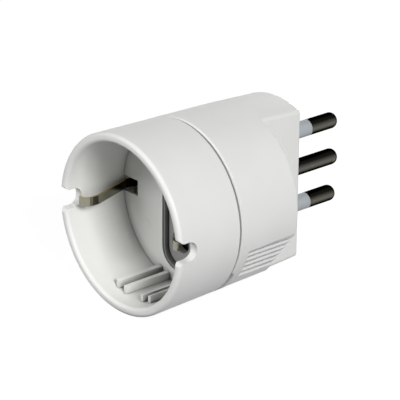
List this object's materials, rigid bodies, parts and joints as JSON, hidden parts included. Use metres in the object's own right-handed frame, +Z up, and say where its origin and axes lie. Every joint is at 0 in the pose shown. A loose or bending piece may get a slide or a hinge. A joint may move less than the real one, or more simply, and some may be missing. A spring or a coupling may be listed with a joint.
{
  "type": "plug adapter",
  "caption": "Round plug adapter with a deep earthed socket recess in front and a row of round plug pins behind, with sprung earth clips and a safety shutter.",
  "frame": {"origin": "centre of the plug face, on the axis of the earth pin", "axes": "+X out of the plug face along the pins (the socket opens towards -X); +Z up along the row of pins; +Y across, towards the left earth clip as one looks into the socket"},
  "size_m": [0.0679, 0.0432, 0.0434],
  "materials": {
    "housing": "white moulded thermoplastic, satin gloss",
    "insert_plastic": "dark grey moulded thermoplastic, matte",
    "carrier_plastic": "black moulded thermoplastic, matte",
    "shutter_plastic": "dark grey moulded thermoplastic, matte",
    "sleeve_plastic": "pale blue-grey moulded thermoplastic, satin",
    "pin_metal": "nickel-plated turned brass",
    "contact_metal": "stamped brass strip",
    "clip_metal": "nickel-plated bronze strip with raw yellow cut edges",
    "steel": "zinc-plated steel"
  },
  "bodies": {
    "housing": {"front_shell": "housing", "rear_shell": "housing", "socket_insert": "insert_plastic", "contact_carrier": "carrier_plastic", "line_contact": "contact_metal", "neutral_contact": "contact_metal", "line_contact_clamp": "steel", "neutral_contact_clamp": "steel", "line_pin": "pin_metal", "neutral_pin": "pin_metal", "earth_pin": "pin_metal", "line_pin_sleeve": "sleeve_plastic", "neutral_pin_sleeve": "sleeve_plastic", "earth_strap": "contact_metal", "pin_retainer": "carrier_plastic", "retainer_screws": "steel", "shutter_spring": "steel"},
    "shutter": {"safety_shutter": "shutter_plastic"},
    "left_clip": {"earth_clip_left": "clip_metal"},
    "right_clip": {"earth_clip_right": "clip_metal"}
  },
  "joints": [
    {"name": "shutter_slide", "type": "slide", "parent": "housing", "child": "shutter", "axis": [0, -1, 0], "range_m": [0, 0.006], "stiffness_N_per_m": 150, "springref_m": -0.002, "deforming": ["shutter_spring"]},
    {"name": "left_clip_bend", "type": "hinge", "parent": "housing", "child": "left_clip", "pos_m": [-0.0274, 0.018, 0], "axis": [0, 0, -1], "range_deg": [0, 3.5], "stiffness_Nm_per_rad": 1.4},
    {"name": "right_clip_bend", "type": "hinge", "parent": "housing", "child": "right_clip", "pos_m": [-0.0274, -0.018, 0], "axis": [0, 0, 1], "range_deg": [0, 3.5], "stiffness_Nm_per_rad": 1.4}
  ]
}
